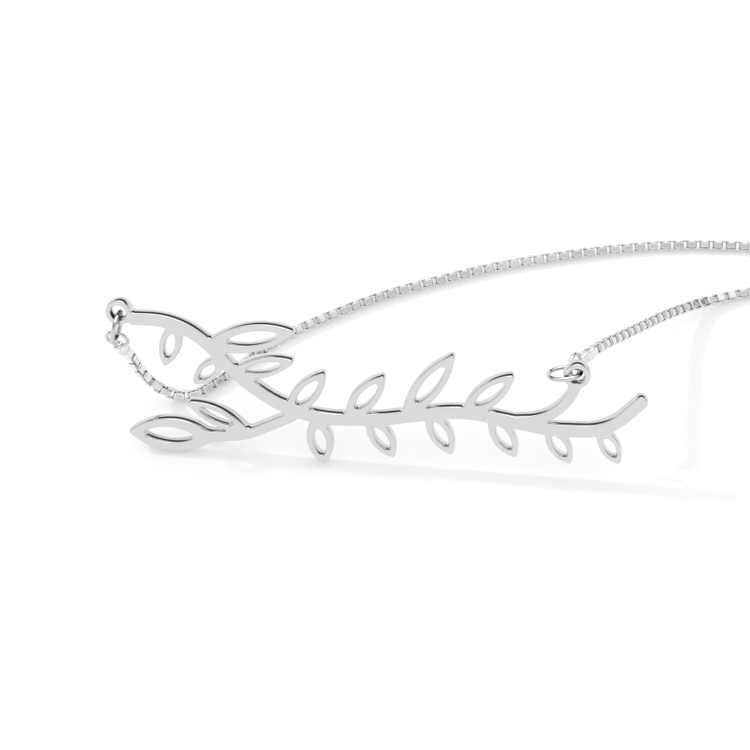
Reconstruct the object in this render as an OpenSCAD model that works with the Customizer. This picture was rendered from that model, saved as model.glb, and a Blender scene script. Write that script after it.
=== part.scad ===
// Necklace with a flat pierced nameplate on a fine box chain, set down on a table.
// The plate stands on its two lowest points and leans back, and the chain lies behind it.
// Millimetres, +Z up. The origin is the middle of the footprint, on the table.

/* [Nameplate] */
// Width of the plate, from the left eyelet to the tip of the tail
plate_w = 42; // [38:0.5:48]
// Height of the artwork above the table, measured up the plate
plate_h = 12.5; // [11.5:0.1:14]
// Thickness of the metal sheet
sheet_t = 1.1; // [0.8:0.05:1.3]
// Width of the cut stem
line_w = 1.1; // [0.9:0.05:1.4]
// Share of a leaf's width that its slit takes
slit_share = 0.42; // [0.3:0.02:0.5]
// Lean of the standing plate, back from upright
lean = 18; // [12:1:22]

/* [Eyelets] */
// Outer diameter of the two eyelets
eye_d = 2.1; // [1.9:0.05:2.4]
// Bore of the two eyelets
eye_bore = 1.1; // [0.95:0.05:1.2]

/* [Rings] */
// Outer diameter of the jump rings in the eyelets
jump_d = 2.85; // [2.7:0.05:3.2]
// Wire of the jump rings
jump_wire = 0.35; // [0.25:0.01:0.38]
// Outer diameter of the end rings soldered to the chain
end_d = 2; // [1.8:0.05:2.3]
// Wire of the end rings
end_wire = 0.3; // [0.25:0.01:0.35]

/* [Chain] */
// Width of the box chain, across its flats
chain_w = 1; // [0.8:0.05:1.2]

/* [Clasp] */
// Outer diameter of the round clasp
clasp_d = 5.5; // [5:0.1:6.5]
// Thickness of the round clasp
clasp_wire = 0.9; // [0.7:0.05:1]
// Outer diameter of the eye soldered to the clasp
clasp_eye_d = 2.1; // [1.9:0.05:2.5]
// Wire of the eye soldered to the clasp
clasp_eye_wire = 0.5; // [0.4:0.05:0.55]
// Outer diameter of the catch ring that the clasp holds
catch_d = 2.85; // [2.7:0.05:3.4]
// Wire of the catch ring
catch_wire = 0.35; // [0.3:0.01:0.4]

/* [Layout] */
// Radius of the round loop in which the chain lies
loop_r = 48.5; // [42:0.5:56]
// Radius of the two bends between the neck of the loop and its round part
neck_r = 12; // [9:0.5:15]
// Distance between the strands at the neck of the loop
neck_gap = 6.4; // [5:0.1:9]
// Distance from the plate's right end to the neck of the loop
neck_past = 12.5; // [10:0.5:18]

/* [Hidden] */

silver = [0.84, 0.85, 0.87];
chain_silver = [0.76, 0.77, 0.79];

// Gap left between linked rings, and between a ring and the plate
link_gap = 0.06;
// Angle between the points of a rounded corner, and of a leaf's round tip, and the longest
// step between the points of a wide curve
step_a = 12;
tip_step_a = 20;
step_l = 0.9;

// Eyelet centres, up the plate from the table and in from its left end
eye_left = [eye_d / 2, 0.91 * plate_h];
eye_right = [0.868 * plate_w, 0.715 * plate_h];

// Half width of the low leaf and height of its middle, as a share of plate_h
low_leaf_half = 0.115;

// Corners of the stem: share of plate_w, share of plate_h, rounding radius as a share of plate_h
stem_corners = [
    [0.052, 0.875, 0],
    [0.150, 0.890, 0.55],
    [0.250, 0.540, 0.80],
    [0.365, 0.285, 0.80],
    [0.520, 0.330, 0.90],
    [0.660, 0.430, 0.90],
    [0.830, 0.345, 0.70],
    [0.930, 0.360, 0.35],
    [1 - line_w / plate_w / 2, 0.570, 0],
];

// Side stalks to the low leaf and to the right eyelet, in the same columns
stalk_w = 0.85 * line_w;
stalks = [
    [[0.350, 0.300, 0], [0.265, 0.150, 0.50], [0.180, low_leaf_half, 0]],
    [[0.760, 0.385, 0], [0.848, 0.420, 0.34], [0.868, 0.660, 0]],
];

// Rounded point of a leaf, and that of its slit as a share of the slit's half width
tip_r = 0.022 * plate_h;
slit_tip = 0.4;
// Stretch of a leaf that its slit takes, as shares of the leaf's length
slit_from = 0.28;
slit_to = 0.80;

// Leaves: base and tip as shares of plate_w and plate_h, half width as a share of plate_h.
// The low leaf and the tip of the drop leaf touch the table
leaves = [
    [0.190, 0.740, 0.345, 0.860, 0.095],
    [0.235, 0.560, 0.345, 0.665, 0.070],
    [0.345, 0.330, 0.405, 0.590, 0.080],
    [0.455, 0.330, 0.515, 0.600, 0.080],
    [0.560, 0.370, 0.640, 0.770, 0.085],
    [0.670, 0.420, 0.750, 0.670, 0.080],
    [0.130, 0.850, 0.112, 0.600, 0.070],
    [0.215, 0.640, 0.170, 0.490, 0.065],
    [0.265, 0.180, 0.160, 0.335, 0.065],
    [0.200, low_leaf_half, 0.048, low_leaf_half, low_leaf_half],
    [0.395, 0.290, 0.412, tip_r / plate_h, 0.085],
    [0.495, 0.320, 0.540, 0.100, 0.075],
    [0.605, 0.390, 0.648, 0.150, 0.075],
    [0.720, 0.395, 0.765, 0.165, 0.075],
    [0.825, 0.350, 0.866, 0.150, 0.070],
    [0.920, 0.360, 0.955, 0.175, 0.065],
];

function unit(v) = v / norm(v);
function about(a) = [cos(a), sin(a)];
function on_art(p) = [p[0] * plate_w, p[1] * plate_h];

// One corner of a path as an arc of radius r, or as a plain point where r is 0
function corner(a, p, b, r) =
    r == 0 ? [p] :
    let (u = unit(a - p), v = unit(b - p), half = acos(u * v) / 2)
    let (centre = p + unit(u + v) * r / sin(half), from = p + u * r / tan(half) - centre,
         to = p + v * r / tan(half) - centre)
    let (from_a = atan2(from.y, from.x), turn = atan2(to.y, to.x) - from_a)
    let (sweep = turn > 180 ? turn - 360 : turn < -180 ? turn + 360 : turn)
    let (n = max(2, ceil(abs(sweep) / step_a), ceil(abs(sweep) * PI / 180 * r / step_l)))
    [for (i = [0:n]) centre + r * about(from_a + sweep * i / n)];

function rounded(rows) =
    let (last = len(rows) - 1)
    [for (i = [0:last])
        each corner(on_art(rows[max(i - 1, 0)]), on_art(rows[i]),
                    on_art(rows[min(i + 1, last)]), rows[i][2] * plate_h)];

// Heading of a path at one of its points
function heading(path, i) =
    let (d = path[min(i + 1, len(path) - 1)] - path[max(i - 1, 0)]) atan2(d.y, d.x);

// Outline of a line of width w along a path, with round ends
function line_outline(path, w) =
    let (last = len(path) - 1, h = [for (i = [0:last]) heading(path, i)])
    concat(
        [for (i = [0:last]) path[i] + w / 2 * about(h[i] + 90)],
        [for (a = [90 - tip_step_a:-tip_step_a:-89]) path[last] + w / 2 * about(h[last] + a)],
        [for (i = [last:-1:0]) path[i] + w / 2 * about(h[i] - 90)],
        [for (a = [90 - tip_step_a:-tip_step_a:-89]) path[0] + w / 2 * about(h[0] + 180 + a)]
    );

// Outline of a leaf of two arcs between round points of radius r centred on base and tip
function leaf_outline(base, tip, half_w, r) =
    let (chord = norm(tip - base), rise = half_w - r, along = unit(tip - base),
         side = [-along.y, along.x], middle = (base + tip) / 2)
    let (bow = (chord * chord / 4 + rise * rise) / (2 * rise))
    let (open = asin(chord / 2 / bow), n = max(4, ceil(2 * open / step_a)))
    let (flank = [for (i = [0:n]) let (a = open * (2 * i / n - 1))
                  [(bow + r) * sin(a), rise - bow + (bow + r) * cos(a)]],
         nose_n = ceil((180 - 2 * open) / tip_step_a),
         nose = [for (i = [1:nose_n - 1]) let (a = (90 - open) * (1 - 2 * i / nose_n))
                 [chord / 2 + r * cos(a), r * sin(a)]],
         half_round = concat(flank, nose))
    [for (s = [1, -1]) each [for (q = half_round) middle + s * (q.x * along + q.y * side)]];

module artwork() {
    difference() {
        union() {
            polygon(line_outline(rounded(stem_corners), line_w));
            for (stalk = stalks) polygon(line_outline(rounded(stalk), stalk_w));
            for (leaf = leaves)
                polygon(leaf_outline(on_art(leaf), on_art([leaf[2], leaf[3]]),
                                     leaf[4] * plate_h, tip_r));
        }
        for (leaf = leaves) {
            base = on_art(leaf);
            run = on_art([leaf[2], leaf[3]]) - base;
            half_w = slit_share * leaf[4] * plate_h;
            polygon(leaf_outline(base + slit_from * run, base + slit_to * run, half_w,
                                 slit_tip * half_w));
        }
    }
}

// Along the table: the plate's left end and foot, the neck of the loop, the loop's middle
// and the clasp, with the whole footprint centred on the origin
plate_y = -28.8;
neck_reach = sqrt(pow(loop_r + neck_r, 2) - pow(neck_r + neck_gap / 2, 2));
plate_x = -(plate_w + neck_past + neck_reach + loop_r + clasp_d / 2) / 2;
neck_x = plate_x + plate_w + neck_past;
loop_x = neck_x + neck_reach;
clasp_at = [loop_x + loop_r, 0];

// Plate frame: x along the plate, y up its back face, z to the front
module on_plate() translate([plate_x, plate_y, 0]) rotate([90 - lean, 0, 0]) children();
function from_plate(p) = [
    plate_x + p.x,
    plate_y + p.y * sin(lean) - p.z * cos(lean),
    p.y * cos(lean) + p.z * sin(lean)
];

module at_eyelets() for (eye = [eye_left, eye_right]) translate(eye) children();
module nameplate() color(silver) on_plate() difference() {
    union() {
        linear_extrude(sheet_t) artwork();
        at_eyelets() cylinder(d = eye_d, h = sheet_t, $fn = 48);
    }
    at_eyelets() translate([0, 0, -sheet_t]) cylinder(d = eye_bore, h = 3 * sheet_t, $fn = 48);
}

// Radii of the wire's centre lines
jump_r = (jump_d - jump_wire) / 2;
end_r = (end_d - end_wire) / 2;
clasp_r = (clasp_d - clasp_wire) / 2;
clasp_eye_r = (clasp_eye_d - clasp_eye_wire) / 2;
catch_r = (catch_d - catch_wire) / 2;

module ring(r, wire) rotate_extrude($fn = 48) translate([r, 0]) circle(d = wire, $fn = 24);

// A jump ring threads its bore with the wire just clear of the plate. Its seat is how far its
// middle lies out from the bore and back from the plate's mid plane, hung down or pulled back
jump_clear = jump_r - jump_wire / 2 - link_gap;
hung_seat = [eye_bore / 2 + sqrt(pow(jump_clear, 2) - pow(sheet_t / 2, 2)), 0];
pulled_out = jump_d / 2 - eye_bore / 2 + link_gap;
pulled_seat = [
    pulled_out,
    sqrt(pow(jump_clear, 2) - pow(pulled_out - eye_bore / 2, 2)) - sheet_t / 2
];
// Hooks: eyelet, way round it that the ring goes, seat, angle of the chain's pull behind it
left_hook = [eye_left, 260, hung_seat, 35];
right_hook = [eye_right, 190, pulled_seat, 118];
// Distance between a jump ring's middle and that of the end ring in it
link_reach = jump_r + end_r - (jump_wire + end_wire) / 2 - link_gap;

// Point at a distance from a jump ring's middle, the way that the chain pulls
function pulled(hook, reach) =
    let (way = hook[1], seat = hook[2], pull = hook[3])
    let (d = hook[0] + (seat.x + reach * cos(pull)) * about(way))
    [d.x, d.y, sheet_t / 2 - seat.y - reach * sin(pull)];

module jump_ring(hook)
    color(silver) on_plate() translate(pulled(hook, 0))
        rotate([0, 0, hook[1]]) rotate([90, 0, 0]) ring(jump_r, jump_wire);
module jump_ring_left() jump_ring(left_hook);
module jump_ring_right() jump_ring(right_hook);

module end_ring(hook)
    on_plate() translate(pulled(hook, link_reach))
        rotate([0, 0, hook[1]]) rotate([0, hook[3], 0]) ring(end_r, end_wire);
function chain_start(hook) = from_plate(pulled(hook, link_reach + end_r));

// The clasp lies tilted: its two rings hold it up on the chain's line and its edge is down
clasp_lift = 0.3;
clasp_z = catch_wire + clasp_lift + clasp_wire / 2;
clasp_tilt = asin((clasp_z - clasp_wire / 2) / clasp_r);
clasp_solder = 0.2;
clasp_eye_y = clasp_d / 2 + clasp_eye_d / 2 - clasp_solder;
clasp_end_y = clasp_eye_y + clasp_eye_r + end_r - (clasp_eye_wire + end_wire) / 2 - link_gap;
catch_rise = catch_d / 2 - clasp_z;
catch_y = clasp_r
    + sqrt(pow(catch_r - catch_wire / 2 - clasp_wire / 2 - link_gap, 2) - pow(catch_rise, 2));
// Thumb tab of the clasp
tab_d = 0.7;
tab_l = 0.9;

module clasp()
    color(silver) translate([clasp_at.x, clasp_at.y, clasp_z]) rotate([0, clasp_tilt, 0]) {
        ring(clasp_r, clasp_wire);
        translate([0, clasp_eye_y, 0]) ring(clasp_eye_r, clasp_eye_wire);
        rotate([0, 0, 135]) rotate([0, 90, 0]) translate([0, 0, clasp_r])
            cylinder(d = tab_d, h = clasp_wire / 2 + tab_l, $fn = 24);
    }

// Chain routes: points chosen along each strand from its plate end, x from the plate's left
// end or from the right eyelet, y from the plate's foot, z above the table
chain_z = chain_w / 2;
left_run = [
    [1.1, 3.9, 5.4], [1.5, 4.5, 3.6], [2.1, 5.0, 2.0], [3.0, 5.35, 0.8], [4.2, 5.5, 0.1],
    [5.6, 5.85, 0], [7.0, 7.35, 0], [8.8, 9.9, 0], [11.4, 13.8, 0], [14.5, 16.8, 0],
    [19.2, 20.6, 0], [24.3, 23.7, 0], [29.4, 26.4, 0], [34.7, 28.5, 0], [40.1, 30.3, 0],
    [45.5, 31.5, 0], [50.0, 31.9, 0],
];
right_run = [
    [0.9, 5.5, 7.6], [2.0, 7.8, 6.7], [3.5, 10.7, 5.4], [5.2, 13.9, 4.0], [6.9, 17.1, 2.6],
    [8.8, 20.0, 1.4], [10.7, 22.3, 0.5], [12.6, 23.8, 0.1], [14.7, 24.9, 0],
];

// Neck bend and round part of one strand's loop: side is 1 for the far strand, -1 for the near
neck_turn = 90 - asin((neck_r + neck_gap / 2) / (loop_r + neck_r));
neck_steps = 3;
loop_steps = 21;
// Length over which a strand rises to its ring at the clasp
lead = 5;
function loop_run(side, end_y, end_z) =
    let (first = 90 + neck_turn, last = asin((end_y + lead) / loop_r))
    concat(
        [for (i = [0:neck_steps]) let (a = neck_turn * i / neck_steps)
            [neck_x + neck_r * sin(a),
             side * (neck_gap / 2 + neck_r - neck_r * cos(a)), chain_z]],
        [for (i = [1:loop_steps]) let (a = first + (last - first) * i / loop_steps)
            [loop_x + loop_r * cos(a), side * loop_r * sin(a), chain_z]],
        [[clasp_at.x, side * end_y, end_z]]
    );

left_route = concat(
    [chain_start(left_hook)],
    [for (p = left_run) p + [plate_x, plate_y, chain_z]],
    loop_run(1, clasp_end_y + end_r, end_d / 2)
);
right_route = concat(
    [chain_start(right_hook)],
    [for (p = right_run) p + [plate_x + eye_right.x, plate_y, chain_z]],
    loop_run(-1, catch_y + catch_r, catch_d / 2)
);

// Tube of eight flats along a route, with a flat underneath
tube_sides = 8;
function tube_ring(route, i) =
    let (last = len(route) - 1)
    let (t = unit(route[min(i + 1, last)] - route[max(i - 1, 0)]))
    let (side = unit(cross(t, [0, 0, 1])), up = cross(side, t))
    let (r = chain_w / 2 / cos(180 / tube_sides))
    [for (k = [0:tube_sides - 1]) let (a = 360 * (k + 0.5) / tube_sides)
        route[i] + r * (cos(a) * side + sin(a) * up)];
module tube(route) {
    n = tube_sides;
    rings = len(route);
    polyhedron(
        points = [for (i = [0:rings - 1]) each tube_ring(route, i)],
        faces = concat(
            [[for (k = [n - 1:-1:0]) k]],
            [for (i = [0:rings - 2], k = [0:n - 1])
                [i * n + k, i * n + (k + 1) % n, (i + 1) * n + (k + 1) % n, (i + 1) * n + k]],
            [[for (k = [0:n - 1]) (rings - 1) * n + k]]
        )
    );
}

module chain_left() color(chain_silver) {
    tube(left_route);
    end_ring(left_hook);
    translate([clasp_at.x, clasp_end_y, end_d / 2]) rotate([0, 90, 0]) ring(end_r, end_wire);
}

module chain_right() color(chain_silver) {
    tube(right_route);
    end_ring(right_hook);
    translate([clasp_at.x, -catch_y, catch_d / 2]) rotate([0, 90, 0])
        ring(catch_r, catch_wire);
}

nameplate();
jump_ring_left();
jump_ring_right();
chain_left();
chain_right();
clasp();
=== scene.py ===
"""Looks of a silver nameplate necklace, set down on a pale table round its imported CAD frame.

The pierced vine plate is cut again with polished round edges, and each plain chain tube is
replaced by real interlocking box links that follow the same route. Sizes are millimetres until
a mesh is made, and the frame is metres.
"""

import logging
import math
from collections.abc import Iterable, Sequence
from dataclasses import dataclass, field
from enum import Enum
from functools import cache

import bpy
import numpy as np
from mathutils import Matrix, Vector
from mathutils.geometry import delaunay_2d_cdt


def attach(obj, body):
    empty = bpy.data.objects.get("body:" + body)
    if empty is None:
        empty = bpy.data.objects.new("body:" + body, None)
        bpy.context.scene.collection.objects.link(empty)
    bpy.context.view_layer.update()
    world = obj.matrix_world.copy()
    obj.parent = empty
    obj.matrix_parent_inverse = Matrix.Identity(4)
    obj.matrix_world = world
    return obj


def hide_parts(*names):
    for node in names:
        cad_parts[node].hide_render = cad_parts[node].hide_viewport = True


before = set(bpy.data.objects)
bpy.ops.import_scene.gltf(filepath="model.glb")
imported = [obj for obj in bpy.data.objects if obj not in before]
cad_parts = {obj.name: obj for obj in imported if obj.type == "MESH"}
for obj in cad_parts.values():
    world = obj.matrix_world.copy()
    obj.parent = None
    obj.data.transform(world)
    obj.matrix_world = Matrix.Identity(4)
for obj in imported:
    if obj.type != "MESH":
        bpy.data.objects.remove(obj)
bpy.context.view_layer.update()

LOG = logging.getLogger("necklace")
MM = 0.001
ROOT = "root"
INSIDE_ONLY = 1

Point = np.ndarray
Loop = list[Point]
Face = tuple[int, ...]
Surface = tuple[np.ndarray, np.ndarray, list[Face]]
Socket = bpy.types.NodeSocket


class Slot(Enum):
    """Material slots of the record."""

    PLATE = "plate_silver"
    CHAIN = "chain_silver"


class Strand(Enum):
    """The two strands of the chain, by the side of the loop on which each lies."""

    FAR = 1
    NEAR = -1


def about(degrees: float) -> Point:
    """Unit vector in the plane at an angle from x.

    Args:
        degrees: The angle, anticlockwise.

    Returns:
        The vector's x and y.
    """
    return np.array([math.cos(math.radians(degrees)), math.sin(math.radians(degrees))])


def heading(v: Point) -> float:
    """Angle of a vector in the plane, in degrees from x."""
    return math.degrees(math.atan2(v[1], v[0]))


def unit(v: Point) -> Point:
    """The vector at length one."""
    return v / np.linalg.norm(v)


def area(loop: Loop) -> float:
    """Area inside a closed outline, more than 0 where it runs anticlockwise."""
    return sum(a[0] * b[1] - a[1] * b[0] for a, b in zip(loop, loop[1:] + loop[:1])) / 2


def lengths(line: np.ndarray) -> np.ndarray:
    """Length along a line at each of its points."""
    return np.concatenate([[0], np.cumsum(np.linalg.norm(np.diff(line, axis=0), axis=1))])


def oblong(half: Sequence[float], bend: float, steps: int) -> list[tuple[Point, Point]]:
    """An oblong with round corners.

    Args:
        half: Half of its length and half of its width.
        bend: Radius of its corners.
        steps: Steps of each corner.

    Returns:
        Its points, anticlockwise, each with the unit vector that faces out there.
    """
    points = []
    for q in range(4):
        centre = (np.array(half) - bend) * math.sqrt(2) * about(45 + 90 * q)
        for i in range(steps + 1):
            out = about(90 * q + 90 / steps * i)
            points.append((centre + bend * out, out))
    return points


def tube_faces(rows: int, sides: int, ring: bool = False) -> list[Face]:
    """Faces between rows of points that each run round a body.

    Args:
        rows: How many rows there are.
        sides: How many points each has.
        ring: Whether the last row meets the first. Its rows run the other way round.

    Returns:
        The faces, without the two ends.
    """
    faces = []
    for j in range(rows if ring else rows - 1):
        near, far = j * sides, (j + 1) % rows * sides
        for k in range(sides):
            a, b, c, d = near + k, near + (k + 1) % sides, far + (k + 1) % sides, far + k
            faces.append((a, d, c, b) if ring else (a, b, c, d))
    return faces


def put(name: str, data: bpy.types.ID) -> bpy.types.Object:
    """Makes an object of some data and puts it in the scene.

    Args:
        name: Its name.
        data: The data.

    Returns:
        The object.
    """
    made = bpy.data.objects.new(name, data)
    bpy.context.scene.collection.objects.link(made)
    return made


def grey(level: float) -> tuple[float, float, float, float]:
    """A grey, as a socket takes it."""
    return level, level, level, 1


@dataclass(frozen=True)
class Layout:
    """Where the pieces lie on the table, with the sizes that the CAD source has."""

    plate_w: float = 42.0
    plate_h: float = 12.5
    sheet_t: float = 1.1
    lean: float = 18.0
    eye_d: float = 2.1
    eye_bore: float = 1.1
    left_eye_y: float = 0.91
    right_eye: tuple[float, float] = (0.868, 0.715)
    plate_y: float = -28.8
    loop_r: float = 48.5
    neck_r: float = 12.0
    neck_gap: float = 6.4
    neck_past: float = 12.5
    clasp_d: float = 5.5
    chain_z: float = 0.5

    @property
    def neck_reach(self) -> float:
        """Distance between the neck of the loop and the loop's middle."""
        return math.sqrt((self.loop_r + self.neck_r) ** 2 - (self.neck_r + self.neck_gap / 2) ** 2)

    @property
    def plate_x(self) -> float:
        """Left end of the plate."""
        reach = self.plate_w + self.neck_past + self.neck_reach + self.loop_r
        return -(reach + self.clasp_d / 2) / 2

    @property
    def neck_x(self) -> float:
        """Neck of the loop."""
        return self.plate_x + self.plate_w + self.neck_past

    @property
    def loop_x(self) -> float:
        """Middle of the loop."""
        return self.neck_x + self.neck_reach

    @property
    def eyes(self) -> tuple[Point, Point]:
        """Middles of the two eyelets.

        Returns:
            The left one and the right one, along the plate and up it, in mm.
        """
        right_x, right_y = self.right_eye
        return (
            np.array([self.eye_d / 2, self.left_eye_y * self.plate_h]),
            np.array([right_x * self.plate_w, right_y * self.plate_h]),
        )

    @property
    def stand(self) -> Matrix:
        """Plate frame in the world, in mm: x along the plate, y up its back, z to the front."""
        turn = Matrix.Rotation(math.radians(90 - self.lean), 4, "X")
        return Matrix.Translation((self.plate_x, self.plate_y, 0)) @ turn


LAYOUT = Layout()


class Nodes:
    """Short way to build a node tree."""

    def __init__(self, tree: bpy.types.NodeTree) -> None:
        """Keeps the tree that is built."""
        self.tree = tree

    def feed(self, socket: Socket, value: object) -> None:
        """Gives a socket its value, or links it where the value is a socket too.

        Args:
            socket: The socket.
            value: Its value, or the socket that gives it.
        """
        if isinstance(value, Socket):
            self.tree.links.new(value, socket)
        else:
            socket.default_value = value

    def add(self, kind: str, *first: object, **values: object) -> bpy.types.Node:
        """Adds a node.

        Args:
            kind: Blender's class name of the node.
            first: What its first sockets are fed.
            values: Attributes of the node, or sockets by name with underscores for spaces.

        Returns:
            The node.
        """
        made = self.tree.nodes.new(kind)
        for key, value in values.items():
            name = key.replace("_", " ")
            if name in made.inputs:
                self.feed(made.inputs[name], value)
            else:
                setattr(made, key, value)
        for socket, value in zip(made.inputs, first):
            self.feed(socket, value)
        return made

    def out(self, kind: str, *first: object, **values: object) -> Socket:
        """Adds a node as add does, and gives its first output."""
        return self.add(kind, *first, **values).outputs[0]

    def blend(self, share: Socket, first: object, second: object) -> Socket:
        """Mixes two colours.

        Args:
            share: Where the share of the second one comes from.
            first: The first colour, or where it comes from.
            second: The second one.

        Returns:
            The mixed colour.
        """
        mix = self.add("ShaderNodeMix", share, data_type="RGBA")
        colours = [socket for socket in mix.inputs if socket.type == "RGBA"]
        for socket, colour in zip(colours, (first, second)):
            self.feed(socket, colour)
        return next(socket for socket in mix.outputs if socket.type == "RGBA")

    def ramp(self, place: Socket, rows: Sequence[tuple[float, float]]) -> Socket:
        """Adds a ramp of greys.

        Args:
            place: Where the place on the ramp comes from.
            rows: Places and the grey level at each.

        Returns:
            The grey.
        """
        made = self.add("ShaderNodeValToRGB", place)
        stops = made.color_ramp.elements
        stops.remove(stops[-1])
        for i, (at, level) in enumerate(rows):
            stop = stops.new(at) if i else stops[0]
            stop.position = at
            stop.color = grey(level)
        return made.outputs["Color"]

    @classmethod
    def of(cls, owner: bpy.types.ID) -> "Nodes":
        """Empties the node tree of a material or a world, to build it anew.

        Args:
            owner: The material or the world.

        Returns:
            Its nodes.
        """
        owner.use_nodes = True
        owner.node_tree.nodes.clear()
        return cls(owner.node_tree)

    @classmethod
    def group(cls, name: str, inputs: dict[str, str], outputs: Sequence[str]
              ) -> tuple["Nodes", bpy.types.bpy_prop_collection, bpy.types.bpy_prop_collection]:
        """Starts a node group.

        Args:
            name: The group's name.
            inputs: The kind of each input, by its name.
            outputs: Names of the outputs, which are numbers.

        Returns:
            The group's nodes, then the sockets that give its inputs and those it has to feed.
        """
        tree = bpy.data.node_groups.new(name, "ShaderNodeTree")
        for socket, kind in inputs.items():
            tree.interface.new_socket(socket, in_out="INPUT", socket_type=kind)
        for socket in outputs:
            tree.interface.new_socket(socket, in_out="OUTPUT", socket_type="NodeSocketFloat")
        n = cls(tree)
        return n, n.add("NodeGroupInput").outputs, n.add("NodeGroupOutput").inputs


@cache
def polish_marks() -> bpy.types.NodeTree:
    """Group of the fine marks of a polishing mop and of handling, shared by all the silver.

    Returns:
        The group, with inputs Vector, Scale, Roughness and Spread, and outputs Roughness, Tone
        and Height.
    """
    number = "NodeSocketFloat"
    inputs = {"Vector": "NodeSocketVector", "Scale": number, "Roughness": number, "Spread": number}
    n, given, asked = Nodes.group("polish_marks", inputs, ("Roughness", "Tone", "Height"))
    grown = n.out("ShaderNodeVectorMath", given["Vector"], operation="SCALE", Scale=given["Scale"])
    # The mop runs along x, so its marks are drawn out that way.
    drawn = n.out("ShaderNodeMapping", grown, Scale=(0.25, 3.0, 3.0))
    marks = n.out("ShaderNodeTexNoise", drawn, Scale=1800.0, Detail=3.0, Roughness=0.6)
    cloud = n.out("ShaderNodeTexNoise", grown, Scale=260.0, Detail=2.0, Roughness=0.5)
    # Each noise is 0.5 on average, so their sum less 1 swings about 0.
    both = n.out("ShaderNodeMath", marks, cloud, operation="ADD")
    around = n.out("ShaderNodeMath", both, 1.0, operation="SUBTRACT")
    rough = n.out("ShaderNodeMath", around, given["Spread"], given["Roughness"],
                  operation="MULTIPLY_ADD")
    for socket, value in zip(asked, (rough, cloud, marks)):
        n.feed(socket, value)
    return n.tree


@cache
def crevices() -> bpy.types.NodeTree:
    """Group that finds where something stands close over a surface, as inside a link or near the
    table, where painted shade goes.

    Returns:
        The group, with input Reach, and output Open, 1 on open metal and less in a crevice.
    """
    n, given, asked = Nodes.group("crevices", {"Reach": "NodeSocketFloat"}, ("Open",))
    # Ambient occlusion against every piece and the table: the mask for painted shade.
    near = n.add("ShaderNodeAmbientOcclusion", samples=8, Distance=given["Reach"])
    n.feed(asked["Open"], near.outputs["AO"])
    return n.tree


@dataclass(frozen=True)
class PolishedSilver:
    """Polished silver with faint polishing marks, its colour darkened by painted shade where
    something stands close over it.
    """

    name: str
    light: float
    dark: float
    roughness: float
    spread: float
    mark_scale: float
    mark_depth: float
    mark_strength: float = 0.3
    crevice_reach: float = 0.0
    crevice_shade_tone: float = 1.0
    crevice_shut: float = 0.25
    crevice_open: float = 0.85

    @cache
    def material(self) -> bpy.types.Material:
        """Builds the material, once for each finish.

        Returns:
            The material.
        """
        made = bpy.data.materials.new(self.name)
        n = Nodes.of(made)
        place = n.add("ShaderNodeTexCoord").outputs["Object"]
        marks = n.add("ShaderNodeGroup", node_tree=polish_marks(), Vector=place,
                      Scale=self.mark_scale, Roughness=self.roughness, Spread=self.spread).outputs
        colour = n.blend(marks["Tone"], grey(self.dark), grey(self.light))
        bump = n.out("ShaderNodeBump", Strength=self.mark_strength,
                     Distance=self.mark_depth * MM, Height=marks["Height"])
        shader = n.out("ShaderNodeBsdfPrincipled", self.shaded(n, colour), Metallic=1.0,
                       Roughness=marks["Roughness"], Normal=bump)
        n.add("ShaderNodeOutputMaterial", shader)
        return made

    def shaded(self, n: Nodes, colour: Socket) -> Socket:
        """Darkens a colour with painted shade in crevices, inside links, between rings and near
        the table.

        Args:
            n: The material's nodes.
            colour: The colour.

        Returns:
            The darkened colour.
        """
        if self.crevice_shade_tone == 1:
            return colour
        # Painted shade: the colour is scaled down where the occlusion mask finds something close.
        found = n.out("ShaderNodeGroup", node_tree=crevices(), Reach=self.crevice_reach * MM)
        painted_shade = n.out("ShaderNodeMapRange", found, From_Min=self.crevice_shut,
                     From_Max=self.crevice_open, To_Min=self.crevice_shade_tone, To_Max=1.0)
        return n.out("ShaderNodeVectorMath", colour, operation="SCALE", Scale=painted_shade)


@dataclass(frozen=True)
class WhiteTable:
    """Matt white acrylic table top, lit from below."""

    name: str = "white_table"
    tone: float = 0.5
    cloud_tone: float = 0.495
    glow: float = 0.395
    roughness: float = 0.6
    specular: float = 0.2

    def material(self) -> bpy.types.Material:
        """Builds the material.

        Returns:
            The material.
        """
        made = bpy.data.materials.new(self.name)
        n = Nodes.of(made)
        place = n.add("ShaderNodeTexCoord").outputs["Object"]
        cloud = n.out("ShaderNodeTexNoise", place, Scale=12.0, Detail=2.0)
        colour = n.ramp(cloud, ((0.0, self.cloud_tone), (1.0, self.tone)))
        shader = n.out("ShaderNodeBsdfPrincipled", colour, Roughness=self.roughness,
                       Specular_IOR_Level=self.specular, Emission_Color=grey(1),
                       Emission_Strength=self.glow)
        n.add("ShaderNodeOutputMaterial", shader)
        return made


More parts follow.
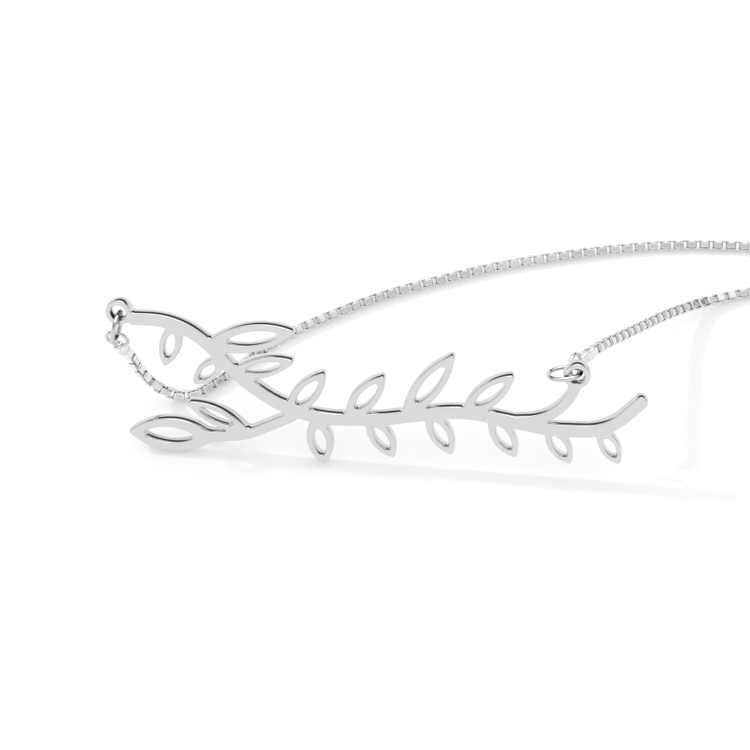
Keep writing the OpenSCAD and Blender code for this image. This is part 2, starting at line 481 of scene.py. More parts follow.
@dataclass
class Mesh:
    """Points, faces and smooth normals of one piece, gathered before the object is made."""

    points: list[Point] = field(default_factory=list)
    normals: list[Point] = field(default_factory=list)
    faces: list[Face] = field(default_factory=list)
    looks: list[int] = field(default_factory=list)

    def join(self, points: np.ndarray, normals: np.ndarray, faces: Iterable[Sequence[int]],
             look: int = 0) -> None:
        """Adds a body.

        Args:
            points: Its points, in mm.
            normals: Their normals.
            faces: Its faces, numbered from its own first point.
            look: Which of the piece's materials it takes.
        """
        first = len(self.points)
        self.points.extend(points)
        self.normals.extend(normals)
        self.faces.extend(tuple(first + i for i in face) for face in faces)
        self.looks.extend([look] * (len(self.faces) - len(self.looks)))

    def piece(self, name: str, *materials: bpy.types.Material) -> bpy.types.Object:
        """Makes the object, in metres, with its normals as given.

        Args:
            name: The object's name.
            materials: Its materials.

        Returns:
            The object.
        """
        mesh = bpy.data.meshes.new(name)
        mesh.from_pydata([Vector(p) * MM for p in self.points], [], self.faces)
        mesh.polygons.foreach_set("use_smooth", [True] * len(self.faces))
        mesh.polygons.foreach_set("material_index", self.looks)
        for material in materials:
            mesh.materials.append(material)
        mesh.normals_split_custom_set_from_vertices([Vector(v) for v in self.normals])
        mesh.update()
        return put(name, mesh)


def wire_ring(radius: float, wire: float, place: Matrix, around: int = 64, sides: int = 20
              ) -> Surface:
    """A round wire ring.

    Args:
        radius: Radius of the wire's middle.
        wire: Diameter of the wire.
        place: Where the ring's middle and axis go.
        around: Steps round the ring.
        sides: Sides of the wire.

    Returns:
        Points, normals and faces.
    """
    turn = np.array(place.to_3x3())
    at = np.array(place.translation)
    points, normals = [], []
    for i in range(around):
        out = np.array([*about(360 * i / around), 0])
        for k in range(sides):
            c, s = about(360 * k / sides)
            normal = c * out + s * np.array([0, 0, 1])
            points.append(turn @ (radius * out + wire / 2 * normal) + at)
            normals.append(turn @ normal)
    return np.array(points), np.array(normals), tube_faces(around, sides, ring=True)


@dataclass
class VinePlate:
    """The pierced nameplate: a leafy vine in place of a name, cut from one sheet."""

    finish: PolishedSilver
    line_w: float = 1.1
    stalk_share: float = 0.85
    slit_share: float = 0.42
    slit_tip: float = 0.4
    slit_span: tuple[float, float] = (0.28, 0.80)
    low_leaf_half: float = 0.115
    tip_share: float = 0.022
    edge_r: float = 0.08
    edge_angles: tuple[float, ...] = (
        -90, -70, -50, -32, -14, -9, -4.5, 0, 4.5, 9, 14, 32, 50, 70, 90)
    bulge_deg: float = 14.0
    fillet: float = 0.22
    fillet_steps: int = 5
    sharp_deg: float = 25.0
    longest_mitre: float = 1.6
    arc_step: float = 4.0
    nose_step: float = 12.0
    cap_step: int = 10
    eye_sides: int = 48
    least_corner_steps: int = 3
    least_leaf_steps: int = 8
    least_step: float = 0.03

    @property
    def stem(self) -> list[tuple[float, float, float]]:
        """Corners of the stem.

        Returns:
            For each: share of the width, share of the height, radius as a share of the height.
        """
        return [
            (0.052, 0.875, 0), (0.150, 0.890, 0.55), (0.250, 0.540, 0.80), (0.365, 0.285, 0.80),
            (0.520, 0.330, 0.90), (0.660, 0.430, 0.90), (0.830, 0.345, 0.70),
            (0.930, 0.360, 0.35), (1 - self.line_w / LAYOUT.plate_w / 2, 0.570, 0),
        ]

    @property
    def stalks(self) -> list[list[tuple[float, float, float]]]:
        """Side stalks to the low leaf and to the right eyelet.

        Returns:
            The corners of each, as in stem.
        """
        return [
            [(0.350, 0.300, 0), (0.265, 0.150, 0.50), (0.180, self.low_leaf_half, 0)],
            [(0.760, 0.385, 0), (0.848, 0.420, 0.34), (0.868, 0.660, 0)],
        ]

    @property
    def tip_r(self) -> float:
        """Radius of a leaf's round point."""
        return self.tip_share * LAYOUT.plate_h

    @property
    def leaves(self) -> list[tuple[float, float, float, float, float]]:
        """Leaves of the vine.

        Returns:
            For each: base and tip as shares of the plate, half width as a share of its height.
        """
        low = self.low_leaf_half
        return [
            (0.190, 0.740, 0.345, 0.860, 0.095), (0.235, 0.560, 0.345, 0.665, 0.070),
            (0.345, 0.330, 0.405, 0.590, 0.080), (0.455, 0.330, 0.515, 0.600, 0.080),
            (0.560, 0.370, 0.640, 0.770, 0.085), (0.670, 0.420, 0.750, 0.670, 0.080),
            (0.130, 0.850, 0.112, 0.600, 0.070), (0.215, 0.640, 0.170, 0.490, 0.065),
            (0.265, 0.180, 0.160, 0.335, 0.065), (0.200, low, 0.048, low, low),
            (0.395, 0.290, 0.412, self.tip_share, 0.085), (0.495, 0.320, 0.540, 0.100, 0.075),
            (0.605, 0.390, 0.648, 0.150, 0.075), (0.720, 0.395, 0.765, 0.165, 0.075),
            (0.825, 0.350, 0.866, 0.150, 0.070), (0.920, 0.360, 0.955, 0.175, 0.065),
        ]

    @staticmethod
    def on_art(x: float, y: float) -> Point:
        """Point of the artwork from its shares, in mm."""
        return np.array([x * LAYOUT.plate_w, y * LAYOUT.plate_h])

    def corner(self, a: Point, p: Point, b: Point, r: float) -> Loop:
        """One corner of a path as an arc of radius r, or as a plain point where r is 0.

        Args:
            a: The point before.
            p: The corner.
            b: The point after.
            r: Radius in mm.

        Returns:
            Points of the arc.
        """
        if r == 0:
            return [p]
        u, v = unit(a - p), unit(b - p)
        half = math.acos(float(u @ v)) / 2
        centre = p + unit(u + v) * r / math.sin(half)
        from_a = heading(p + u * r / math.tan(half) - centre)
        turn = heading(p + v * r / math.tan(half) - centre) - from_a
        sweep = (turn + 180) % 360 - 180
        n = max(self.least_corner_steps, math.ceil(abs(sweep) / self.arc_step))
        return [centre + r * about(from_a + sweep * i / n) for i in range(n + 1)]

    def path(self, rows: Sequence[tuple[float, float, float]]) -> Loop:
        """A rounded path from its corners.

        Args:
            rows: Corners, as in stem.

        Returns:
            Points of the path in mm.
        """
        last = len(rows) - 1
        points: Loop = []
        for i, (x, y, r) in enumerate(rows):
            before, after = rows[max(i - 1, 0)], rows[min(i + 1, last)]
            points += self.corner(self.on_art(*before[:2]), self.on_art(x, y),
                                  self.on_art(*after[:2]), r * LAYOUT.plate_h)
        return points

    def line_outline(self, path: Loop, width: float) -> Loop:
        """Outline of a line along a path, with round ends.

        Args:
            path: Its middle line.
            width: Its width.

        Returns:
            The closed outline.
        """
        last = len(path) - 1
        heads = [heading(path[min(i + 1, last)] - path[max(i - 1, 0)]) for i in range(last + 1)]
        half = width / 2
        caps = range(90 - self.cap_step, -90, -self.cap_step)
        rows = list(zip(path, heads))
        outline: Loop = []
        for turn, side in ((0, rows), (180, rows[::-1])):
            outline += [p + half * about(h + turn + 90) for p, h in side]
            outline += [side[-1][0] + half * about(side[-1][1] + turn + a) for a in caps]
        return outline

    def leaf_outline(self, base: Point, tip: Point, half_w: float, r: float) -> Loop:
        """Outline of a leaf: two arcs between round points centred on base and tip.

        Args:
            base: Middle of the first round point.
            tip: Middle of the second.
            half_w: Half of the leaf's width.
            r: Radius of the round points.

        Returns:
            The closed outline.
        """
        chord = float(np.linalg.norm(tip - base))
        rise = half_w - r
        along = unit(tip - base)
        side = np.array([-along[1], along[0]])
        middle = (base + tip) / 2
        bow = (chord * chord / 4 + rise * rise) / (2 * rise)
        spread = math.degrees(math.asin(chord / 2 / bow))
        n = max(self.least_leaf_steps, math.ceil(2 * spread / self.arc_step))
        half_round = []
        for i in range(n + 1):
            c, s = about(spread * (2 * i / n - 1))
            half_round.append(((bow + r) * s, rise - bow + (bow + r) * c))
        nose = math.ceil((180 - 2 * spread) / self.nose_step)
        for i in range(1, nose):
            c, s = about((90 - spread) * (1 - 2 * i / nose))
            half_round.append((chord / 2 + r * c, r * s))
        return [middle + sign * (x * along + y * side) for sign in (1, -1) for x, y in half_round]

    def outlines(self) -> tuple[list[Loop], list[Loop]]:
        """Outlines that are metal and those that are cut out.

        Returns:
            The solid outlines and the cut ones.
        """
        turn = [about(360 * i / self.eye_sides) for i in range(self.eye_sides)]
        solid = [self.line_outline(self.path(self.stem), self.line_w)]
        solid += [self.line_outline(self.path(rows), self.stalk_share * self.line_w)
                  for rows in self.stalks]
        solid += [[eye + LAYOUT.eye_d / 2 * v for v in turn] for eye in LAYOUT.eyes]
        cut = [[eye + LAYOUT.eye_bore / 2 * v for v in turn] for eye in LAYOUT.eyes]
        low, high = self.slit_span
        for x, y, tip_x, tip_y, half in self.leaves:
            base, tip = self.on_art(x, y), self.on_art(tip_x, tip_y)
            half_w = half * LAYOUT.plate_h
            solid.append(self.leaf_outline(base, tip, half_w, self.tip_r))
            half_w *= self.slit_share
            cut.append(self.leaf_outline(base + low * (tip - base), base + high * (tip - base),
                                         half_w, self.slit_tip * half_w))
        return solid, cut

    @staticmethod
    def filled(solid: list[Loop], cut: list[Loop], weld: float) -> tuple[list[Point], list[Face]]:
        """Triangles of the area that is metal.

        Args:
            solid: Outlines of metal, which may overlap.
            cut: Outlines of holes.
            weld: Distance within which two points become one.

        Returns:
            The points and the triangles, anticlockwise.
        """
        points: list[Point] = []
        faces = []
        for loop in solid + cut:
            faces.append(list(range(len(points), len(points) + len(loop))))
            points += loop if area(loop) > 0 else loop[::-1]
        flat, _, made, sources, _, origin = delaunay_2d_cdt(
            [Vector(p) for p in points], [], faces, INSIDE_ONLY, weld)
        kept = [tuple(face) for face, owners in zip(made, origin)
                if owners and all(owner < len(solid) for owner in owners)]
        return [points[source[0]] if source else np.array(p)
                for p, source in zip(flat, sources)], kept

    def rims(self, points: list[Point], cells: list[Face]) -> list[Loop]:
        """Closed edges of an area, with the metal on the left and without tiny steps.

        Args:
            points: Points of the area.
            cells: Its triangles.

        Returns:
            The edges, the outer ones anticlockwise.
        """
        used = {(a, b) for cell in cells for a, b in zip(cell, cell[1:] + cell[:1])}
        ahead = {a: b for a, b in used if (b, a) not in used}
        loops = []
        while ahead:
            start = min(ahead)
            ring = [start]
            step = ahead.pop(start)
            while step != start:
                ring.append(step)
                step = ahead.pop(step)
            loop = [points[ring[0]]]
            for i in ring[1:]:
                if np.linalg.norm(points[i] - loop[-1]) > self.least_step:
                    loop.append(points[i])
            if np.linalg.norm(loop[0] - loop[-1]) <= self.least_step:
                loop.pop()
            loops.append(loop)
        return loops

    def softened(self, loop: Loop) -> Loop:
        """An edge with its sharp corners rounded, as polishing leaves them.

        Args:
            loop: The edge.

        Returns:
            The rounded edge.
        """
        closed = np.array(loop + loop[:1])
        steps = np.diff(closed, axis=0)
        along = lengths(closed)
        whole = along[-1]
        heads = np.degrees(np.arctan2(steps[:, 1], steps[:, 0]))
        turns = (heads - np.roll(heads, 1) + 180) % 360 - 180

        def at(s: float) -> Point:
            """Point of the edge at a length along it."""
            return np.array([np.interp(s % whole, along, closed[:, k]) for k in (0, 1)])

        corners = [i for i, turn in enumerate(turns) if abs(turn) > self.sharp_deg]
        rows = [(s, p) for s, p in zip(along, loop)
                if all(abs((s - along[i] + whole / 2) % whole - whole / 2) > self.fillet
                       for i in corners)]
        for i in corners:
            a, b = at(along[i] - self.fillet), at(along[i] + self.fillet)
            for k in range(self.fillet_steps + 1):
                t = k / self.fillet_steps
                bent = (1 - t) ** 2 * a + 2 * t * (1 - t) * loop[i] + t * t * b
                rows.append(((along[i] + (2 * t - 1) * self.fillet) % whole, bent))
        rows.sort(key=lambda row: row[0])
        return [p for _, p in rows]

    def profile(self) -> list[tuple[float, float, float, float]]:
        """Section of the polished edge from the back face to the front one.

        Returns:
            Inset from the outline, height from the back, and the outward and upward parts of
            the surface's direction.
        """
        r, half_t = self.edge_r, LAYOUT.sheet_t / 2
        c, s = about(self.bulge_deg)
        wide_r = (half_t - r + r * s) / s
        rows = []
        for angle in self.edge_angles:
            out, up = about(angle)
            if abs(angle) <= self.bulge_deg:
                rows.append((wide_r - wide_r * out, half_t + wide_r * up, out, up))
            else:
                z = half_t + math.copysign(half_t - r, up) + r * up
                rows.append((wide_r - (wide_r - r) * c - r * out, z, out, up))
        return rows

    def inset(self, loop: Loop, depth: float) -> Loop:
        """An edge set into the metal by a depth."""
        return [p - depth * reach * out for p, out, reach in zip(loop, *self.outward(loop))]

    def outward(self, loop: Loop) -> tuple[Loop, list[float]]:
        """Outward directions at the points of an edge.

        Args:
            loop: The edge, with the metal on the left.

        Returns:
            Unit vectors away from the metal, and how far a mitre reaches for each mm of offset.
        """
        sides = [unit(b - a) for a, b in zip(loop, loop[1:] + loop[:1])]
        normals = [np.array([d[1], -d[0]]) for d in sides]
        out, reach = [], []
        for before, after in zip(normals[-1:] + normals[:-1], normals):
            out.append(unit(before + after))
            reach.append(1 / max(1 / self.longest_mitre, float(out[-1] @ after)))
        return out, reach

    def unfolded(self, loop: Loop) -> Loop:
        """Leaves out the points at which an edge would fold over where it is set in.

        Args:
            loop: The edge.

        Returns:
            The edge without them.
        """
        depth = self.profile()[-1][0]
        while True:
            inner = self.inset(loop, depth)
            steps = zip(loop, loop[1:] + loop[:1], inner, inner[1:] + inner[:1])
            folds = [float((b - a) @ (d - c)) <= 0 for a, b, c, d in steps]
            if not any(folds):
                return loop
            loop = [p for p, fold in zip(loop, folds) if not fold]

    def build(self) -> bpy.types.Object:
        """Builds the plate with a polished round edge, front and back.

        Returns:
            The piece.
        """
        mesh = Mesh()
        profile = self.profile()
        turn = np.array(LAYOUT.stand.to_3x3())
        at = np.array(LAYOUT.stand.translation)
        inner: list[Loop] = []
        for rim in self.rims(*self.filled(*self.outlines(), weld=1e-5)):
            loop = self.unfolded(self.softened(rim))
            out = self.outward(loop)[0]
            points, tilts = [], []
            for depth, z, c, s in profile:
                row = self.inset(loop, depth)
                points += [[*p, z] for p in row]
                tilts += [[c * d[0], c * d[1], s] for d in out]
            inner.append(row)
            mesh.join(np.array(points) @ turn.T + at, np.array(tilts) @ turn.T,
                      tube_faces(len(profile), len(loop)))
        flat, faces = self.filled([loop for loop in inner if area(loop) > 0],
                                  [loop for loop in inner if area(loop) < 0], weld=1e-6)
        for z, facing in ((LAYOUT.sheet_t, 1), (0.0, -1)):
            local = np.array([[*p, z] for p in flat])
            normal = turn @ np.array([0, 0, facing])
            mesh.join(local @ turn.T + at, np.array([normal] * len(flat)),
                      [face[::facing] for face in faces])
        made = mesh.piece("vine_plate", self.finish.material())
        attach(made, ROOT)
        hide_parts("nameplate")
        return made


@dataclass
class Hook:
    """A jump ring in an eyelet, and the way that the chain pulls from it."""

    eye: Point
    way: float
    seat: Point
    pull: float
    reach: float

    def at(self, reach: float) -> Point:
        """Point at a distance from the ring's middle, the way that the chain pulls.

        Args:
            reach: The distance in mm.

        Returns:
            The point, in the plate's frame.
        """
        c, s = about(self.pull)
        x, y = self.eye + (self.seat[0] + reach * c) * about(self.way)
        return np.array([x, y, LAYOUT.sheet_t / 2 - self.seat[1] - reach * s])


@dataclass
class Fittings:
    """Sizes of the jump rings, end rings, catch ring and clasp, as the CAD source has them."""

    jump_d: float = 2.85
    jump_wire: float = 0.35
    end_d: float = 2.0
    end_wire: float = 0.3
    clasp_wire: float = 0.9
    clasp_eye_d: float = 2.1
    clasp_eye_wire: float = 0.5
    catch_d: float = 2.85
    catch_wire: float = 0.35
    gap: float = 0.06
    clasp_lift: float = 0.3
    solder: float = 0.2

    @property
    def jump_r(self) -> float:
        """Radius of a jump ring's middle line."""
        return (self.jump_d - self.jump_wire) / 2

    @property
    def end_r(self) -> float:
        """Radius of an end ring's middle line."""
        return (self.end_d - self.end_wire) / 2

    @property
    def catch_r(self) -> float:
        """Radius of the catch ring's middle line."""
        return (self.catch_d - self.catch_wire) / 2

    @property
    def clasp_end_y(self) -> float:
        """Middle of the end ring that hangs in the clasp's eye.

        Returns:
            How far along y it lies from the clasp's middle.
        """
        eye_y = LAYOUT.clasp_d / 2 + self.clasp_eye_d / 2 - self.solder
        eye_r = (self.clasp_eye_d - self.clasp_eye_wire) / 2
        return eye_y + eye_r + self.end_r - (self.clasp_eye_wire + self.end_wire) / 2 - self.gap

    @property
    def catch_y(self) -> float:
        """Middle of the catch ring that the clasp holds.

        Returns:
            How far along y it lies from the clasp's middle.
        """
        clasp_z = self.catch_wire + self.clasp_lift + self.clasp_wire / 2
        rise = self.catch_d / 2 - clasp_z
        clear = self.catch_r - self.catch_wire / 2 - self.clasp_wire / 2 - self.gap
        return (LAYOUT.clasp_d - self.clasp_wire) / 2 + math.sqrt(clear ** 2 - rise ** 2)

    def hook(self, strand: Strand) -> Hook:
        """The hook of one strand.

        Args:
            strand: Which strand; the far one starts at the left eyelet.

        Returns:
            The hook.
        """
        bore, t = LAYOUT.eye_bore / 2, LAYOUT.sheet_t / 2
        clear = self.jump_r - self.jump_wire / 2 - self.gap
        reach = self.jump_r + self.end_r - (self.jump_wire + self.end_wire) / 2 - self.gap
        left, right = LAYOUT.eyes
        if strand is Strand.FAR:
            hung = np.array([bore + math.sqrt(clear ** 2 - t ** 2), 0])
            return Hook(eye=left, way=260, seat=hung, pull=35, reach=reach)
        out = self.jump_d / 2 - bore + self.gap
        back = math.sqrt(clear ** 2 - (out - bore) ** 2) - t
        return Hook(eye=right, way=190, seat=np.array([out, back]), pull=118, reach=reach)


FITTINGS = Fittings()
LEFT_RUN = (
    (1.1, 3.9, 5.4), (1.5, 4.5, 3.6), (2.1, 5.0, 2.0), (3.0, 5.35, 0.8), (4.2, 5.5, 0.1),
    (5.6, 5.85, 0), (7.0, 7.35, 0), (8.8, 9.9, 0), (11.4, 13.8, 0), (14.5, 16.8, 0),
    (19.2, 20.6, 0), (24.3, 23.7, 0), (29.4, 26.4, 0), (34.7, 28.5, 0), (40.1, 30.3, 0),
    (45.5, 31.5, 0), (50.0, 31.9, 0),
)
RIGHT_RUN = (
    (0.9, 5.5, 7.6), (2.0, 7.8, 6.7), (3.5, 10.7, 5.4), (5.2, 13.9, 4.0), (6.9, 17.1, 2.6),
    (8.8, 20.0, 1.4), (10.7, 22.3, 0.5), (12.6, 23.8, 0.1), (14.7, 24.9, 0),
)


@dataclass
class BoxChain:
    """One strand of the box chain: interlocking square links, and the rings soldered to it."""

    name: str
    node: str
    strand: Strand
    finish: PolishedSilver
    ring_finish: PolishedSilver
    roll: float
    twists: tuple[tuple[float, float, float], ...]
    width: float = 0.89
    strip_t: float = 0.165
    strip_w: float = 0.54
    pitch: float = 0.595
    play: float = 0.005
    corner_r: float = 0.22
    edge_r: float = 0.06
    corner_steps: int = 3
    sway: tuple[tuple[float, float], ...] = ((4.0, 37.0), (3.0, 13.0))
    jitter: float = 2.0
    lift_over: float = 3.0
    sleeve_w: float = 0.82
    sleeve_l: float = 1.7
    sleeve_corner: float = 0.14
    sleeve_edge: float = 0.1
    groove_w: float = 0.07
    groove_d: float = 0.06
    neck_steps: int = 6
    loop_steps: int = 40
    loop_rest: float = 5.0
    seed: int = 7

    @property
    def length(self) -> float:
        """Outer length of a link that hooks its neighbours with a hair of play."""
        return self.pitch + 2 * self.strip_t + self.play

    def run(self) -> list[tuple[float, float, float]]:
        """Points chosen along the strand from its plate end.

        Returns:
            Their places in the world, in mm.
        """
        if self.strand is Strand.FAR:
            start, rows = LAYOUT.plate_x, LEFT_RUN
        else:
            start, rows = LAYOUT.plate_x + LAYOUT.eyes[1][0], RIGHT_RUN
        return [(start + x, LAYOUT.plate_y + y, LAYOUT.chain_z + z) for x, y, z in rows]

    def route(self) -> np.ndarray:
        """The strand's middle line, as the CAD source has it.

        Returns:
            Its points.
        """
        side = self.strand.value
        hook = FITTINGS.hook(self.strand)
        begin = LAYOUT.stand @ Vector(hook.at(hook.reach + FITTINGS.end_r))
        if self.strand is Strand.FAR:
            end_y, end_z = FITTINGS.clasp_end_y + FITTINGS.end_r, FITTINGS.end_d / 2
        else:
            end_y, end_z = FITTINGS.catch_y + FITTINGS.catch_r, FITTINGS.catch_d / 2
        loop_r, neck_r, gap = LAYOUT.loop_r, LAYOUT.neck_r, LAYOUT.neck_gap
        turn = 90 - math.degrees(math.asin((neck_r + gap / 2) / (loop_r + neck_r)))
        first = 90 + turn
        last = math.degrees(math.asin((end_y + self.loop_rest) / loop_r))
        z = LAYOUT.chain_z
        rows = [tuple(begin), *self.run()]
        for i in range(self.neck_steps + 1):
            c, s = about(turn * i / self.neck_steps)
            rows.append((LAYOUT.neck_x + neck_r * s, side * (gap / 2 + neck_r - neck_r * c), z))
        for i in range(1, self.loop_steps + 1):
            c, s = about(first + (last - first) * i / self.loop_steps)
            rows.append((LAYOUT.loop_x + loop_r * c, side * loop_r * s, z))
        rows.append((LAYOUT.loop_x + loop_r, side * end_y, end_z))
        return np.array(rows)

    @staticmethod
    def curve(rows: np.ndarray, steps: int = 16, even_step: float = 0.05) -> np.ndarray:
        """Smooth curve through points, evenly stepped along its length.

        Args:
            rows: The points.
            steps: Steps between two points before they are evened out.
            even_step: Length of the even steps in mm.

        Returns:
            Points of the curve.
        """
        padded = np.vstack([2 * rows[0] - rows[1], rows, 2 * rows[-1] - rows[-2]])
        # Knots at the root of the distances keep the curve from looping at close points.
        gaps = np.maximum(np.linalg.norm(np.diff(padded, axis=0), axis=1) ** 0.5, 1e-6)
        knots = np.concatenate([[0], np.cumsum(gaps)])
        dense = []
        for i in range(1, len(padded) - 2):
            times = knots[i - 1:i + 3]
            for k in range(steps):
                t = times[1] + (times[2] - times[1]) * k / steps
                mixed = padded[i - 1:i + 3]
                for spans in (((0, 1), (1, 2), (2, 3)), ((0, 2), (1, 3)), ((1, 2),)):
                    mixed = [((times[b] - t) * p + (t - times[a]) * q) / (times[b] - times[a])
                             for (a, b), p, q in zip(spans, mixed, mixed[1:])]
                dense.append(mixed[0])
        line = np.array([*dense, rows[-1]])
        along = lengths(line)
        even = np.linspace(0, along[-1], int(along[-1] / even_step))
        return np.stack([np.interp(even, along, line[:, k]) for k in range(3)], axis=1)

    def link_shape(self) -> Surface:
        """One square link round its own middle: x along the chain, the hole's axis along z.

        Returns:
            Points, normals and faces.
        """
        half_t = self.strip_t / 2
        spine = oblong((self.length / 2 - half_t, self.width / 2 - half_t),
                       self.corner_r - half_t, self.corner_steps)
        section = oblong((half_t, self.strip_w / 2), self.edge_r, 1)
        points, normals = [], []
        for place, out in spine:
            for (x, z), n in section:
                points.append([*(place + x * out), z])
                normals.append([*(n[0] * out), n[1]])
        return np.array(points), np.array(normals), tube_faces(len(spine), len(section), ring=True)

    def turn_at(self, s: float) -> float:
        """How far the strand is turned about its middle line.

        Args:
            s: Length along the line from the plate end.

        Returns:
            The turn in degrees.
        """
        swayed = sum(a * math.sin(math.tau * s / wave) for a, wave in self.sway)
        twisted = sum(a * math.exp(-((s - place) / span) ** 2) for place, span, a in self.twists)
        return self.roll + swayed + twisted

    @staticmethod
    def frame_at(line: np.ndarray, along: np.ndarray, s: float, tilt: float, window: int = 6
                 ) -> tuple[Point, np.ndarray]:
        """Place on the strand's middle line, and axes turned about it.

        Args:
            line: The middle line.
            along: Length along it at each point.
            s: Length to the place.
            tilt: Turn about the line in degrees.
            window: How many points to each side give the line's direction.

        Returns:
            The place, and the axes as columns, the first one along the line.
        """
        k = int(np.searchsorted(along, s))
        at = np.array([np.interp(s, along, line[:, axis]) for axis in range(3)])
        ahead = unit(line[min(k + window, len(line) - 1)] - line[max(k - window, 0)])
        side = unit(np.cross([0, 0, 1], ahead))
        up = np.cross(ahead, side)
        cos, sin = about(tilt)
        return at, np.stack([ahead, cos * side + sin * up, -sin * side + cos * up], axis=1)

    def sleeve(self, line: np.ndarray, along: np.ndarray) -> Surface:
        """The smooth square sleeve that ends the strand at the plate, with a groove round it.

        Args:
            line: The strand's middle line.
            along: Length along it at each point.

        Returns:
            Points, normals and faces.
        """
        edge, groove = self.sleeve_edge, self.groove_w
        middle, end = self.sleeve_l / 2, self.sleeve_l
        # Length along the sleeve, inset of its wall, and the lean of its surface to the ends.
        rows = [(0, edge, -0.9), (0.3 * edge, 0.4 * edge, -0.6), (edge, 0, 0),
                (middle - groove, 0, 0.2), (middle, self.groove_d, 0), (middle + groove, 0, -0.2),
                (end - edge, 0, 0), (end - 0.3 * edge, 0.4 * edge, 0.6), (end, edge, 0.9)]
        points, normals = [], []
        for s, inset, lean in rows:
            at, axes = self.frame_at(line, along, s, self.turn_at(s))
            half = self.sleeve_w / 2 - inset
            for place, out in oblong((half, half), self.sleeve_corner, self.corner_steps):
                points.append(axes @ [0, *place] + at)
                normals.append(unit(axes @ [lean, *(math.sqrt(1 - lean * lean) * out)]))
        sides = len(points) // len(rows)
        ends = [tuple(range(sides))[::-1], tuple(range(len(points) - sides, len(points)))]
        return np.array(points), np.array(normals), tube_faces(len(rows), sides) + ends

    def build(self) -> bpy.types.Object:
        """Builds the strand as one mesh of linked bodies.

        Returns:
            The piece.
        """
        line = self.curve(self.route())
        along = lengths(line)
        # A link that stands on its round corner is thicker than the tube, so it lies higher.
        corner = (self.width / 2 - self.corner_r) * math.sqrt(2) + self.corner_r
        line[:, 2] += (corner - LAYOUT.chain_z) * np.minimum(1, along / self.lift_over)
        points, normals, faces = self.link_shape()
        start = self.sleeve_l + self.length / 2 - self.strip_t
        room = along[-1] - start - self.length / 2
        count = round(room / self.pitch) + 1
        chance = np.random.default_rng(self.seed)
        mesh = Mesh()
        for i in range(count):
            s = start + room * i / (count - 1)
            tilt = self.turn_at(s) + 90 * (i % 2) + chance.uniform(-self.jitter, self.jitter)
            at, axes = self.frame_at(line, along, s, tilt)
            mesh.join(points @ axes.T + at, normals @ axes.T, faces)
        mesh.join(*self.sleeve(line, along))
        for ring in self.rings():
            mesh.join(*ring, look=1)
        made = mesh.piece(self.name, self.finish.material(), self.ring_finish.material())
        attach(made, ROOT)
        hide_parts(self.node)
        LOG.info("%s: %d links, %.1f mm", self.name, count, along[-1])
        return made

    def rings(self) -> list[Surface]:
        """Rings soldered to the strand's two ends.

        Returns:
            Points, normals and faces of each.
        """
        hook = FITTINGS.hook(self.strand)
        front = (
            LAYOUT.stand
            @ Matrix.Translation(hook.at(hook.reach))
            @ Matrix.Rotation(math.radians(hook.way), 4, "Z")
            @ Matrix.Rotation(math.radians(hook.pull), 4, "Y")
        )
        if self.strand is Strand.FAR:
            radius, wire = FITTINGS.end_r, FITTINGS.end_wire
            y, z = FITTINGS.clasp_end_y, FITTINGS.end_d / 2
        else:
            radius, wire = FITTINGS.catch_r, FITTINGS.catch_wire
            y, z = -FITTINGS.catch_y, FITTINGS.catch_d / 2
        back = Matrix.Translation((LAYOUT.loop_x + LAYOUT.loop_r, y, z))
        back @= Matrix.Rotation(math.radians(90), 4, "Y")
        return [wire_ring(FITTINGS.end_r, FITTINGS.end_wire, front), wire_ring(radius, wire, back)]


@dataclass
class SmallMetal:
    """The jump rings and the clasp, whose CAD solids are kept and get their silver."""

    finish: PolishedSilver
    nodes: tuple[str, ...] = ("jump_ring_left", "jump_ring_right", "clasp")

    def dress(self) -> None:
        """Gives each node its material."""
        material = self.finish.material()
        for name in self.nodes:
            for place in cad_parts[name].material_slots:
                place.material = material


@dataclass(frozen=True)
class Lamp:
    """A soft lamp far away."""

    name: str
    energy: float
    spread: float
    source: tuple[float, float, float]

    def build(self) -> None:
        """Makes the lamp, which shows in no reflection."""
        data = bpy.data.lights.new(self.name, "SUN")
        data.energy = self.energy
        data.angle = math.radians(self.spread)
        made = put(self.name, data)
        made.rotation_mode = "QUATERNION"
        made.rotation_quaternion = Vector(self.source).to_track_quat("Z", "Y")
        made.visible_glossy = False


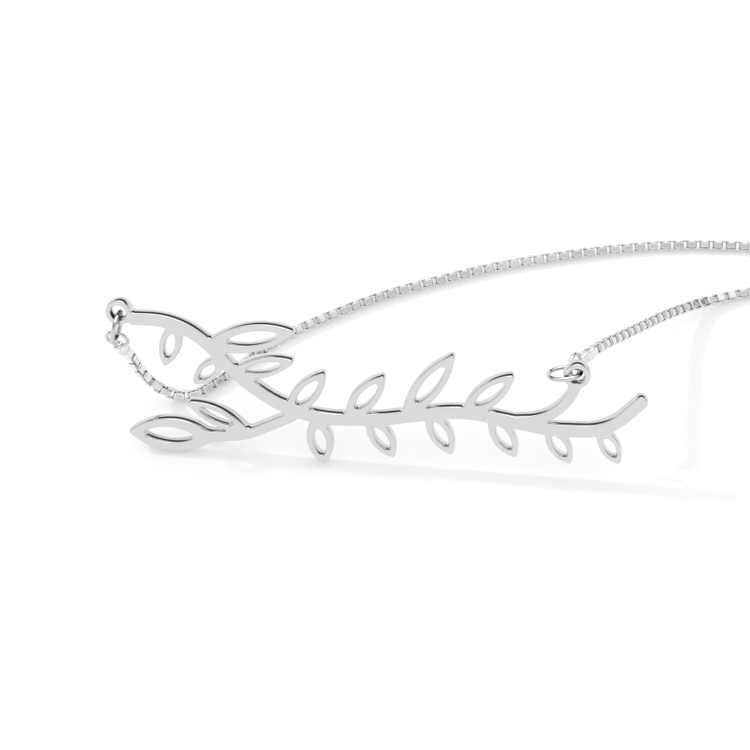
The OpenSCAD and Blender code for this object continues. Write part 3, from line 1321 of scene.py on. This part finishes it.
@dataclass
class Studio:
    """The pale table, the soft lights and the camera."""

    eye: tuple[float, float, float] = (-49.0, -130.37, 94.77)
    azimuth: float = 6.68
    elevation: float = 40.0
    field_deg: float = 24.0
    sensor: float = 36.0
    near_far: tuple[float, float] = (0.005, 20)
    table: WhiteTable = WhiteTable()
    table_half: float = 6.0
    lamps: tuple[Lamp, ...] = (
        Lamp("top_softbox", energy=0.45, spread=120.0, source=(0.05, 0.1, 1.0)),
        Lamp("back_lamp", energy=1.0, spread=3.0, source=(-1.08, 0.36, 1.0)),
    )
    back_sky: tuple[tuple[float, float], ...] = (
        (0.0, 1.0), (0.17, 1.0), (0.23, 0.05), (0.43, 0.05), (0.53, 1.0), (0.80, 1.2),
        (0.93, 2.6), (1.0, 3.0))
    front_sky: tuple[tuple[float, float], ...] = (
        (0.0, 1.1), (0.30, 1.0), (0.56, 0.52), (0.84, 0.52), (0.95, 2.4), (1.0, 3.0))
    front_to_back: tuple[float, float] = (-0.35, -0.1)
    dome: float = 0.98
    backdrop: float = 0.95

    def camera(self) -> None:
        """Makes the camera at the photograph's place and angle."""
        data = bpy.data.cameras.new("camera")
        data.sensor_width = self.sensor
        data.lens = self.sensor / 2 / math.tan(math.radians(self.field_deg / 2))
        data.clip_start, data.clip_end = self.near_far
        made = put("camera", data)
        c, s = about(self.azimuth)
        rise_c, rise_s = about(self.elevation)
        back = Vector((s * rise_c, -c * rise_c, rise_s))
        made.location = Vector(self.eye) * MM
        made.rotation_mode = "QUATERNION"
        made.rotation_quaternion = (-back).to_track_quat("-Z", "Y")
        bpy.context.scene.camera = made

    def floor(self) -> None:
        """Makes the table top."""
        half = self.table_half
        mesh = bpy.data.meshes.new("table_top")
        mesh.from_pydata([(-half, -half, 0), (half, -half, 0), (half, half, 0), (-half, half, 0)],
                         [], [(0, 1, 2, 3)])
        mesh.materials.append(self.table.material())
        made = put("table_top", mesh)

    def surroundings(self) -> None:
        """Makes the pale surroundings: what the metal reflects, what lights it, the backdrop."""
        world = bpy.data.worlds.new("studio")
        n = Nodes.of(world)
        place = n.add("ShaderNodeTexCoord").outputs["Generated"]
        axes = n.add("ShaderNodeSeparateXYZ", place).outputs
        front, back = self.front_to_back
        side = n.out("ShaderNodeMapRange", axes["Y"], From_Min=front, From_Max=back)
        levels = n.blend(side, n.ramp(axes["Z"], self.front_sky), n.ramp(axes["Z"], self.back_sky))
        sky = n.out("ShaderNodeBackground", levels, Strength=1.0)
        even = n.out("ShaderNodeBackground", grey(1), Strength=self.dome)
        seen = n.out("ShaderNodeBackground", grey(1), Strength=self.backdrop)
        ray = n.add("ShaderNodeLightPath").outputs
        shine = n.out("ShaderNodeMixShader", ray["Is Glossy Ray"], even, sky)
        mix = n.out("ShaderNodeMixShader", ray["Is Camera Ray"], shine, seen)
        n.add("ShaderNodeOutputWorld", mix)
        bpy.context.scene.world = world

    def build(self) -> None:
        """Builds the whole studio, with plain display colours."""
        self.camera()
        self.floor()
        for lamp in self.lamps:
            lamp.build()
        self.surroundings()
        bpy.context.scene.view_settings.view_transform = "Standard"


def main() -> None:
    """Builds the necklace's pieces in order, then the studio."""
    logging.basicConfig(level=logging.INFO, format="%(name)s: %(message)s")
    plate_finish = PolishedSilver("plate_polish", light=0.675, dark=0.635, roughness=0.055,
                                  spread=0.05, mark_scale=1.0, mark_depth=0.004)
    # The chain and fitting finishes darken their colour with painted shade where something stands
    # close, the fittings almost to black.
    chain_finish = PolishedSilver("chain_polish", light=0.90, dark=0.84, roughness=0.28,
                                  spread=0.08, mark_scale=1.6, mark_depth=0.004,
                                  crevice_reach=0.35, crevice_shade_tone=0.7)
    small_finish = PolishedSilver("fitting_polish", light=0.66, dark=0.60, roughness=0.06,
                                  spread=0.05, mark_scale=1.4, mark_depth=0.003,
                                  crevice_reach=1.0, crevice_shade_tone=0.05)
    plate = VinePlate(plate_finish).build()
    LOG.info("vine_plate: %d faces", len(plate.data.polygons))
    for name, node, strand, roll, twists in (
            ("box_chain_left", "chain_left", Strand.FAR, 52, ((2.5, 4.0, 14.0), (8.2, 1.8, 18.0))),
            ("box_chain_right", "chain_right", Strand.NEAR, 46, ((0.8, 1.8, 14.0),))):
        chain = BoxChain(name, node, strand, chain_finish, small_finish, roll, twists).build()
        LOG.info("%s: %d faces", name, len(chain.data.polygons))
    SmallMetal(small_finish).dress()
    LOG.info("jump rings and clasp dressed")
    Studio().build()
    LOG.info("studio built")


if __name__ == "__main__":
    main()
